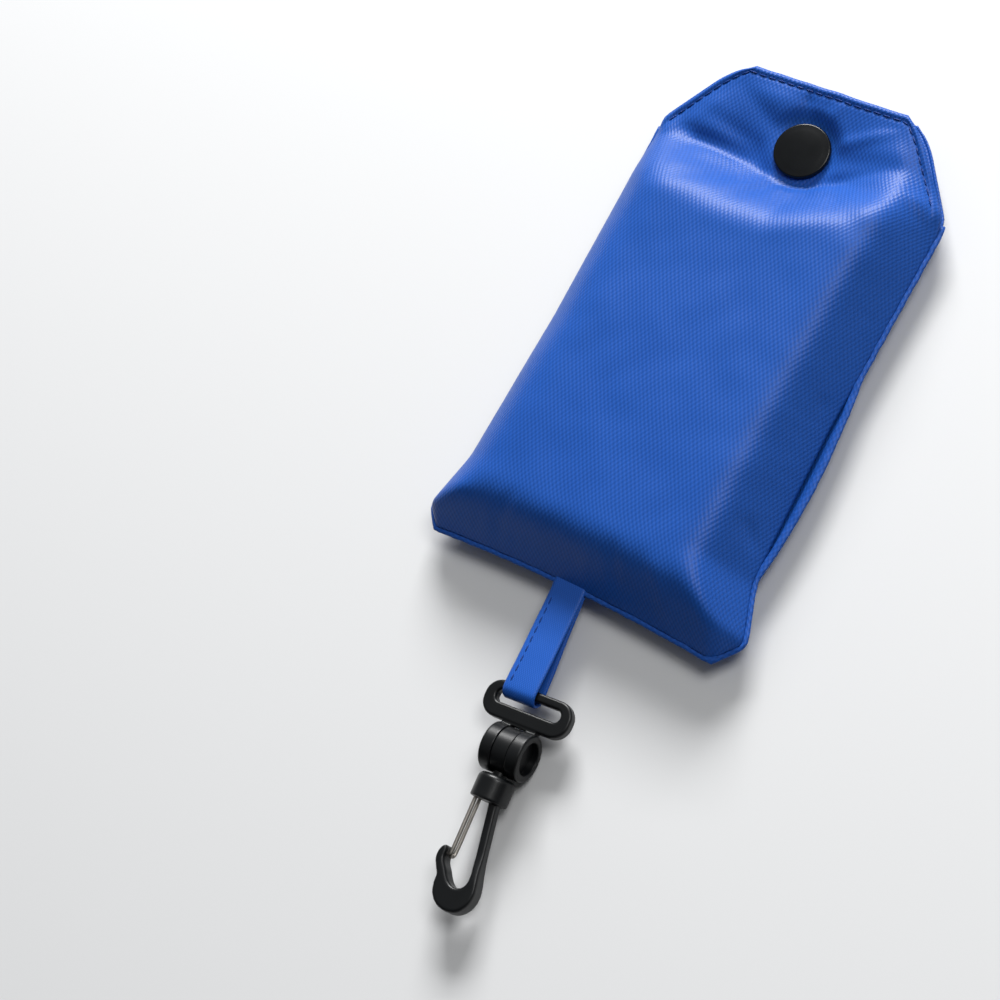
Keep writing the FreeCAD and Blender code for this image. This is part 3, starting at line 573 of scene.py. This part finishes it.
def stitchRow(name, points, ups, length, gap, width):
    # small sewn bars laid end to end along a line of points
    made = bmesh.new()
    run = [0]
    for a, b in zip(points, points[1:]):
        run.append(run[-1] + (b - a).length)

    def spotAt(s):
        for i in range(len(points) - 1):
            if s <= run[i + 1]:
                t = (s - run[i]) / max(1e-9, run[i + 1] - run[i])
                return points[i].lerp(points[i + 1], t), ups[i].lerp(ups[i + 1], t)
        return points[-1], ups[-1]

    s = gap / 2
    while s + length < run[-1]:
        start, up = spotAt(s)
        end, _ = spotAt(s + length)
        along = (end - start).normalized()
        across = along.cross(up).normalized()
        up = across.cross(along)
        rings = []
        for k in range(7):
            t = k / 6
            swell = math.sin(math.pi * min(1, max(0, 0.08 + 0.84 * t))) ** 0.5
            centre = start.lerp(end, t) + up * (0.12 * math.sin(math.pi * t) - 0.05)
            ring = []
            for q in range(8):
                angle = 2 * math.pi * q / 8
                offset = across * math.cos(angle) * width / 2 + up * math.sin(angle) * width * 0.38
                ring.append(made.verts.new((centre + offset * swell) * mm))
            rings.append(ring)
        for r0, r1 in zip(rings, rings[1:]):
            for q in range(8):
                made.faces.new((r0[q], r0[(q + 1) % 8], r1[(q + 1) % 8], r1[q]))
        made.faces.new(rings[0][::-1])
        made.faces.new(rings[-1])
        s += length + gap
    mesh = bpy.data.meshes.new(name)
    made.normal_update()
    made.to_mesh(mesh)
    made.free()
    mesh.shade_smooth()
    row = bpy.data.objects.new(name, mesh)
    bpy.context.scene.collection.objects.link(row)
    return row


def turnedProfile(name, profile, steps=72):
    # spin (radius, height) pairs about Z; the first and last may sit on the axis
    vertices, faces, rings = [], [], []
    for radius, height in profile:
        if radius < 1e-6:
            rings.append([len(vertices)])
            vertices.append((0, 0, height))
            continue
        rings.append([len(vertices) + k for k in range(steps)])
        for k in range(steps):
            angle = 2 * math.pi * k / steps
            vertices.append((radius * math.cos(angle), radius * math.sin(angle), height))
    for low, high in zip(rings, rings[1:]):
        for k in range(steps):
            a, b = low[k % len(low)], low[(k + 1) % len(low)]
            c, d = high[(k + 1) % len(high)], high[k % len(high)]
            face = [a] + ([b] if b != a else []) + [c] + ([d] if d != c else [])
            faces.append(face)
    return newObject(name, vertices, faces)


# hem stitches on both lips
hem = {"length": 2.3, "gap": 0.55, "width": 0.42}


def hemLine(spotAt, lift, up):
    # points along the stitch line of the mouth's three free edges
    inset = pouch["stitchIn"]
    left = [(-1 + inset / 0.787 / alongTable(pouch["edgeLeft"], y), y) for y in range(51, 72)]
    line = []
    for u, y in left:
        line.append((u, (y - bottomEdge) / (mouthEdge - bottomEdge)))
    topV = (mouthEdge - inset - bottomEdge) / (mouthEdge - bottomEdge)
    for k in range(41):
        line.append((-0.92 + 1.84 * k / 40, topV))
    for y in range(71, 50, -1):
        u = 1 - inset / 0.787 / alongTable(pouch["edgeRight"], y)
        line.append((u, (y - bottomEdge) / (mouthEdge - bottomEdge)))
    return [Vector(spotAt(u, v)) + up * lift for u, v in line]


frontLine = hemLine(frontSpot, 0.12, Vector((0, 0, 1)))
frontStitches = stitchRow("frontStitches", frontLine, [Vector((0, 0, 1))] * len(frontLine), **hem)
backLine = hemLine(backSpot, -0.12, Vector((0, 0, 1)))
backStitches = stitchRow("backStitches", backLine, [Vector((0, 0, -1))] * len(backLine), **hem)
for row in (frontStitches, backStitches):
    row.data.materials.append(threadCloth)
print("hem stitches made")


# seam welt round the sides and the bottom
welt = {"width": 2.0, "thick": 0.95, "out": 0.0, "ripple": 0.2}


def weltPath():
    spots = []
    steps = 110
    for i in range(steps, -1, -1):
        v = i / steps * (49.5 - bottomEdge) / (mouthEdge - bottomEdge)
        x, y = backSpot(-1, v)[:2]
        spots.append(Vector((x, y, pouch["seamHeight"])))
    for j in range(1, 80):
        x, y = backSpot(-1 + 2 * j / 80, 0)[:2]
        spots.append(Vector((x, y, pouch["seamHeight"])))
    for i in range(steps + 1):
        v = i / steps * (49.5 - bottomEdge) / (mouthEdge - bottomEdge)
        x, y = backSpot(1, v)[:2]
        spots.append(Vector((x, y, pouch["seamHeight"])))
    path = []
    for i, spot in enumerate(spots):
        before = spots[max(0, i - 1)]
        after = spots[min(len(spots) - 1, i + 1)]
        along = (after - before).normalized()
        outward = along.cross(Vector((0, 0, 1)))
        ripple = welt["ripple"] * wrinkle(i, 0, 2.3, 21)
        lift = 0.18 * wrinkle(i, 5, 3.1, 23)
        centre = spot + outward * (welt["out"] + ripple) + Vector((0, 0, lift))
        path.append((centre, outward, Vector((0, 0, 1))))
    return path


seamWelt = sweep("seamWelt", weltPath(), bandSection(welt["width"], welt["thick"], 8, 0.6))
seamWelt.data.materials.append(pouchCloth)
print("seam welt made")


# webbing loop
strap = {"width": 9.4, "thick": 0.85, "reach": 26.6, "wrap": 2.42, "yaw": 5.5,
         "root": (1.0, -74.1, 6.7), "tail": 7.5, "stitchIn": 1.5}
yawTurn = Matrix.Rotation(math.radians(strap["yaw"]), 3, "Z")
strapRoot = Vector(strap["root"])


def inClip(across, down, up):
    # a place in the clip's own frame, down from the loop's root
    return strapRoot + yawTurn @ Vector((across, -down, up))


def strapPath():
    spots = []
    reach, wrap = strap["reach"], strap["wrap"]
    legSteps = 34
    for i in range(legSteps + 1):
        down = -strap["tail"] + (reach + strap["tail"]) * i / legSteps
        spread = smoothStep(-1, reach, down)
        spots.append((down, 0.47 + (wrap - 0.47) * (0.45 * spread + 0.55 * max(0, down) / reach)))
    upper = list(spots)
    for i in range(1, 14):
        angle = math.pi * i / 14
        spots.append((reach + wrap * math.sin(angle), wrap * math.cos(angle)))
    spots += [(down, -up) for down, up in reversed(upper)]
    path = []
    for i, (down, up) in enumerate(spots):
        before = spots[max(0, i - 1)]
        after = spots[min(len(spots) - 1, i + 1)]
        tangent = Vector((0, -(after[0] - before[0]), after[1] - before[1])).normalized()
        normal = yawTurn @ Vector((1, 0, 0)).cross(tangent)
        sag = 0.22 * wrinkle(down, up, 9, 31)
        across = 0.15 * wrinkle(down, up, 12, 33)
        if down < reach:
            up = up + sag * smoothStep(0, 5, down) * smoothStep(reach, reach - 5, down)
        centre = inClip(across, down, up)
        path.append((centre, yawTurn @ Vector((1, 0, 0)), normal))
    return path


strapLoop = sweep("strapLoop", strapPath(), bandSection(strap["width"], strap["thick"], 18, 0.5))
strapLoop.data.materials.append(litLoopCloth)


def strapLine():
    points = []
    for centre, sideways, upward in strapPath()[9:35]:
        inset = sideways * (-strap["width"] / 2 + strap["stitchIn"])
        points.append(centre + inset + Vector((0, 0, strap["thick"] / 2 + 0.02)))
    return points


strapRow = strapLine()
strapStitches = stitchRow("strapStitches", strapRow, [Vector((0, 0, 1))] * len(strapRow), 2.0, 0.7, 0.36)
strapStitches.data.materials.append(threadCloth)
print("webbing loop made")


# clip: moulded parts with soft edges
def mouldedCopy(node, name, voxel, passes):
    made = bpy.data.objects.new(name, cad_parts[node].data.copy())
    bpy.context.scene.collection.objects.link(made)
    made.data.materials.clear()
    remesh = made.modifiers.new("remesh", "REMESH")
    remesh.mode = "VOXEL"
    remesh.voxel_size = voxel * mm
    smooth = made.modifiers.new("smooth", "SMOOTH")
    smooth.factor = 0.5
    smooth.iterations = passes
    applyModifiers(made)
    made.data.materials.append(clipPlastic)
    return made


hook = {
    "collarTop": 6.7,
    "collarFoot": 13.4,
    "collarRadius": 4.9,
    "depth": 5.0,
    "spineDepth": 3.1,
    "edge": 0.8,
    "outline": [
        (2.9, -2.0), (3.6, 2), (5.0, 9), (6.4, 16), (7.4, 19.8), (7.8, 22.4), (7.2, 25.2), (5.2, 27.6), (2.3, 28.4),
        (-0.7, 27.7), (-2.9, 25.6), (-3.75, 23.0), (-3.95, 20.9), (-4.9, 19.4), (-5.9, 17.6), (-6.1, 15.8),
        (-5.6, 14.2), (-4.7, 13.5), (-4.05, 14.0), (-3.85, 15.2), (-3.75, 16.5), (-3.2, 17.6), (-2.2, 18.8),
        (-1.2, 20.2), (0.2, 21.6), (1.9, 22.2), (3.7, 21.7), (4.7, 20.0), (4.6, 17.6), (4.1, 15.6), (2.7, 9),
        (1.3, 2), (0.5, -2.0),
    ],
}
knuckleDown = strap["reach"] + 15.0


def smoothLoop(points, parts=5):
    # Catmull-Rom points through a closed outline
    made = []
    count = len(points)
    for i in range(count):
        p0, p1, p2, p3 = (Vector(points[(i + k) % count]) for k in (-1, 0, 1, 2))
        for k in range(parts):
            t = k / parts
            made.append(0.5 * ((2 * p1) + (p2 - p0) * t + (2 * p0 - 5 * p1 + 4 * p2 - p3) * t * t
                               + (3 * p1 - p0 - 3 * p2 + p3) * t ** 3))
    return made


def hookSolid():
    # the spine, bight and nose as one rounded plate, thinner along the spine
    curve = bpy.data.curves.new("hookBlank", "CURVE")
    curve.dimensions = "2D"
    curve.fill_mode = "BOTH"
    loop = smoothLoop(hook["outline"])
    spline = curve.splines.new("POLY")
    spline.points.add(len(loop) - 1)
    for spot, point in zip(spline.points, loop):
        spot.co = (point.x, -point.y - hook["collarFoot"], 0, 1)
    spline.use_cyclic_u = True
    curve.bevel_depth = hook["edge"]
    curve.bevel_resolution = 3
    curve.offset = -hook["edge"]
    curve.extrude = hook["depth"] / 2 - hook["edge"]
    made = bpy.data.objects.new("hookBlank", curve)
    bpy.context.scene.collection.objects.link(made)
    bpy.context.view_layer.update()
    mesh = bpy.data.meshes.new_from_object(made.evaluated_get(bpy.context.evaluated_depsgraph_get()))
    bpy.data.objects.remove(made)
    for vertex in mesh.vertices:
        down = -vertex.co.y - hook["collarFoot"]
        onSpine = vertex.co.x > 0.7 + down * 0.2 or down < 8
        deep = smoothStep(12, 20, down) if onSpine else 1.0
        vertex.co.z *= (hook["spineDepth"] + (hook["depth"] - hook["spineDepth"]) * deep) / hook["depth"]
    return mesh


def collarSolid():
    radius = hook["collarRadius"]
    height = hook["collarFoot"] - hook["collarTop"]
    profile = [(0, 0), (radius - 0.5, 0), (radius - 0.12, 0.15), (radius, 0.5), (radius, height - 1.5)]
    for k in range(1, 7):
        angle = math.pi / 2 * k / 6
        profile.append((radius - 1.5 + 1.5 * math.cos(angle), height - 1.5 + 1.5 * math.sin(angle)))
    profile += [(2.5, height), (2.15, height - 0.3), (2.1, height - 1.6), (0, height - 1.6)]
    made = turnedProfile("collarBlank", profile, 48)
    lower = Matrix.Translation((0, -hook["collarFoot"] * mm, 0))
    made.data.transform(lower @ Matrix.Rotation(-math.pi / 2, 4, "X"))
    return made


def clipPlace(down, across=3.2):
    return Matrix.Translation(inClip(across, down, 0) * mm) @ Matrix.Rotation(math.radians(strap["yaw"]), 4, "Z")


def makeHook():
    blank = bmesh.new()
    outline = hookSolid()
    outline.transform(Matrix.Scale(mm, 4))
    blank.from_mesh(outline)
    collar = collarSolid()
    blank.from_mesh(collar.data)
    bpy.data.objects.remove(collar)
    mesh = bpy.data.meshes.new("hookMoulding")
    blank.to_mesh(mesh)
    blank.free()
    made = bpy.data.objects.new("hookMoulding", mesh)
    bpy.context.scene.collection.objects.link(made)
    remesh = made.modifiers.new("remesh", "REMESH")
    remesh.mode = "VOXEL"
    remesh.voxel_size = 0.16 * mm
    smooth = made.modifiers.new("smooth", "SMOOTH")
    smooth.factor = 0.5
    smooth.iterations = 5
    applyModifiers(made)
    made.data.transform(clipPlace(knuckleDown))
    made.data.materials.clear()
    made.data.materials.append(clipPlastic)
    return made


hookMoulding = makeHook()
ringMoulding = mouldedCopy("clip_ring", "ringMoulding", 0.18, 5)
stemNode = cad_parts["swivel_stem"]
stemNode.data.materials.clear()
stemNode.data.materials.append(clipPlastic)
gate = {"radius": 0.5, "spread": 2.4, "drop": 16.9, "swing": 0.1, "rise": 1.2, "inward": 2.9, "pin": 3.0}


def gatePath():
    # pin, leg, shut end, leg, pin: one bent wire in the hook's own frame
    side = gate["spread"] / 2
    foot = (-gate["swing"], -gate["drop"])
    points = [Vector((0, 0, -gate["pin"])), Vector((0, 0, -side - 0.9)), Vector((-0.02, -0.25, -side - 0.15)),
              Vector((-0.12, -1.0, -side)), Vector((foot[0] * 0.5, foot[1] * 0.5, -side)),
              Vector((foot[0] + 0.1, foot[1] + 0.9, -side)), Vector((foot[0], foot[1] + 0.2, -side * 0.75)),
              Vector((foot[0], foot[1], 0))]
    return points + [Vector((p.x, p.y, -p.z)) for p in reversed(points[:-1])]


def wireObject(name, points, radius):
    curve = bpy.data.curves.new(name, "CURVE")
    curve.dimensions = "3D"
    spline = curve.splines.new("NURBS")
    spline.points.add(len(points) - 1)
    for spot, point in zip(spline.points, points):
        spot.co = (*(point * mm), 1)
    spline.order_u = 3
    spline.use_endpoint_u = True
    spline.resolution_u = 8
    curve.bevel_depth = radius * mm
    curve.bevel_resolution = 5
    curve.use_fill_caps = True
    made = bpy.data.objects.new(name, curve)
    bpy.context.scene.collection.objects.link(made)
    bpy.context.view_layer.update()
    mesh = bpy.data.meshes.new_from_object(made.evaluated_get(bpy.context.evaluated_depsgraph_get()))
    bpy.data.objects.remove(made)
    mesh.shade_smooth()
    solid = bpy.data.objects.new(name, mesh)
    bpy.context.scene.collection.objects.link(solid)
    return solid


gateWire = wireObject("gateWire", gatePath(), gate["radius"])
gateWire.data.transform(clipPlace(knuckleDown + hook["collarFoot"] - gate["rise"], 3.2 - gate["inward"]))
gateWire.data.materials.append(gateSteel)
print("clip made")

snap = {"radius": 7.5, "height": 2.35, "rim": 0.55, "dome": 0.5, "base": 8.72, "tiltAcross": -6.3, "tiltAlong": -2.8}


def capProfile():
    radius, height, rim = snap["radius"], snap["height"], snap["rim"]
    profile = [(0, 0.0), (radius - 0.5, 0.0), (radius - 0.15, 0.18), (radius, 0.55)]
    for k in range(7):
        angle = math.pi / 2 * k / 6
        profile.append((radius - rim + rim * math.cos(angle),
                        height - rim - snap["dome"] + rim * math.sin(angle)))
    inner = radius - rim
    profile.append((inner - 0.35, height - snap["dome"] + 0.02))
    for k in range(1, 9):
        r = (inner - 0.5) * (1 - k / 8)
        profile.append((r, height - snap["dome"] * (r / inner) ** 2))
    return profile


snapDome = turnedProfile("snapDome", capProfile())
snapDome.data.materials.append(capPlastic)
snapDome.data.transform(Matrix.Rotation(math.radians(-snap["tiltAlong"]), 4, "X")
                        @ Matrix.Rotation(math.radians(-snap["tiltAcross"]), 4, "Y"))
snapDome.location = (pouch["snap"][0] * mm, pouch["snap"][1] * mm, snap["base"] * mm)
for name in ("snap_back_cap", "snap_socket", "snap_stud"):
    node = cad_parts[name]
    node.data.materials.clear()
    node.data.materials.append(capPlastic)


# folded tote: one long strip of cloth laid to and fro
fold = {"pitch": 1.14, "thick": 0.78, "lean": 0.52}


def foldedStrip(name, layers, foot, low, high, halfWidth, pitch, lean, seed):
    # layers of one strip from low to high along Y, with round turns at both ends
    random.seed(seed)
    path, width = [], []
    for layer in range(layers):
        z = foot + pitch * layer
        nearLow = low + lean * pitch * layer + random.uniform(0, 1.4)
        nearHigh = high - lean * pitch * layer - random.uniform(0, 1.6)
        half = halfWidth - lean * pitch * layer - random.uniform(0, 0.5)
        steps = 26
        spots = [nearLow + (nearHigh - nearLow) * k / steps for k in range(steps + 1)]
        if layer % 2:
            spots.reverse()
        for y in spots:
            swell = 0.07 * wrinkle(y, layer * 7, 9, seed)
            path.append(Vector((0.25 * wrinkle(y, layer, 11, seed + 2), y, z + swell)))
            width.append(half)
        if layer < layers - 1:
            out = -1 if layer % 2 else 1
            edge = spots[-1]
            for k in range(1, 6):
                angle = math.pi * k / 6
                path.append(Vector((0, edge + out * pitch / 2 * math.sin(angle),
                                    z + pitch / 2 * (1 - math.cos(angle)))))
                width.append(half)
    skin = []
    for i, spot in enumerate(path):
        along = (path[min(len(path) - 1, i + 1)] - path[max(0, i - 1)]).normalized()
        upward = Vector((1, 0, 0)).cross(along)
        skin.append((spot, Vector((width[i] / halfWidth, 0, 0)), upward))
    made = sweep(name, skin, bandSection(halfWidth * 2, fold["thick"], 24, 0.4))
    length = sum((b - a).length for a, b in zip(path, path[1:]))
    made.data.materials.append(pouchCloth)
    return made, length


toteStack, stackLength = foldedStrip("toteStack", 9, 7.85, -62.8, 37.2, 37.6, fold["pitch"], fold["lean"], 41)
toteSewnFold, sewnLength = foldedStrip("toteSewnFold", 4, 1.75, -62.6, 28.6, 34.8, 1.42, 0.1, 43)
handles = []
for name, across, seed in (("toteHandleLeft", -14.0, 45), ("toteHandleRight", 14.0, 47)):
    handle, handleLength = foldedStrip(name, 2, 18.88, -50.4, 21.8, 9.8, 0.98, 0.05, seed)
    handle.data.transform(Matrix.Translation((across * mm, 0, 0)))
    handles.append(handle)
print("folded tote made, strip", round(stackLength), round(sewnLength), round(handleLength))

# riding
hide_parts("front_panel", "front_lip", "front_mouth_hem")
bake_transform(frontCloth)
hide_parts("snap_cap")
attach(snapDome, "lip")
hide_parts("back_panel", "back_mouth_hem")
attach(backCloth, "pouch")
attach(frontStitches, "lip")
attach(backStitches, "pouch")
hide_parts("tote_stack")
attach(toteStack, "tote")
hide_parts("tote_sewn_fold")
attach(toteSewnFold, "pouch")
for handle, node in zip(handles, ("tote_handle_left", "tote_handle_right")):
    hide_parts(node)
    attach(handle, "tote")
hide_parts("left_seam", "right_seam", "bottom_seam")
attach(seamWelt, "pouch")
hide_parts("strap_loop", "strap_tail")
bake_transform(strapLoop)
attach(strapStitches, "strap")
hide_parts("hook_body")
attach(hookMoulding, "hook")
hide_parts("wire_gate")
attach(gateWire, "gate")
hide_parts("clip_ring")
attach(ringMoulding, "ring")


# stage, light and camera
stage = {
    "floorColour": (0.63, 0.635, 0.64),
    "world": (0.02, 0.30),
    "brightSide": (-0.35, 0.7, 0.6),
    "cameraPlace": (0.2714, -0.1361, 0.5285),
    "cameraAim": (-0.0274, -0.0599, 0.01),
    "cameraRoll": -48.4,
    "lens": 85,
}
floorMesh = bpy.data.meshes.new("floor")
floorMesh.from_pydata([(-3, -3, 0), (3, -3, 0), (3, 3, 0), (-3, 3, 0)], [], [(0, 1, 2, 3)])
floor = bpy.data.objects.new("floor", floorMesh)
bpy.context.scene.collection.objects.link(floor)
floorMaterial, floorShader = newMaterial("paleFloor")
floorShader.inputs["Base Color"].default_value = (*stage["floorColour"], 1)
floorShader.inputs["Roughness"].default_value = 0.9
floorMesh.materials.append(floorMaterial)

world = bpy.data.worlds.new("softWorld")
world.use_nodes = True
worldTree = world.node_tree
sky = worldTree.nodes["Background"]
sky.inputs["Color"].default_value = (0.97, 0.985, 1, 1)
direction = worldTree.nodes.new("ShaderNodeTexCoord")
towards = worldTree.nodes.new("ShaderNodeVectorMath")
towards.operation = "DOT_PRODUCT"
towards.inputs[1].default_value = Vector(stage["brightSide"]).normalized()
worldTree.links.new(direction.outputs["Generated"], towards.inputs[0])
fade = worldTree.nodes.new("ShaderNodeMapRange")
fade.interpolation_type = "SMOOTHSTEP"
fade.inputs["From Min"].default_value = -0.35
fade.inputs["From Max"].default_value = 0.9
fade.inputs["To Min"].default_value = stage["world"][0]
fade.inputs["To Max"].default_value = stage["world"][1]
worldTree.links.new(towards.outputs["Value"], fade.inputs["Value"])
worldTree.links.new(fade.outputs[0], sky.inputs["Strength"])
bpy.context.scene.world = world


def areaLight(name, place, aim, size, power, tint=(1, 1, 1)):
    light = bpy.data.lights.new(name, "AREA")
    light.shape = "RECTANGLE"
    light.size, light.size_y = size
    light.energy = power
    light.color = tint
    made = bpy.data.objects.new(name, light)
    made.location = place
    made.rotation_euler = (Vector(aim) - Vector(place)).to_track_quat("-Z", "Y").to_euler()
    bpy.context.scene.collection.objects.link(made)


areaLight("keyLight", (-0.42, 1.1, 0.66), (0, 0, 0), (0.7, 0.4), 35)
areaLight("topLight", (0.5, 0.4, 1.1), (0, 0, 0), (0.5, 0.5), 7.2)

camera = bpy.data.cameras.new("camera")
camera.lens = stage["lens"]
cameraObject = bpy.data.objects.new("camera", camera)
bpy.context.scene.collection.objects.link(cameraObject)
away = Vector(stage["cameraAim"]) - Vector(stage["cameraPlace"])
look = away.to_track_quat("-Z", "Y").to_matrix().to_4x4()
cameraObject.matrix_world = (Matrix.Translation(stage["cameraPlace"]) @ look
                             @ Matrix.Rotation(math.radians(stage["cameraRoll"]), 4, "Z"))
bpy.context.scene.camera = cameraObject
bpy.context.scene.view_settings.view_transform = "Standard"
print("stage set")
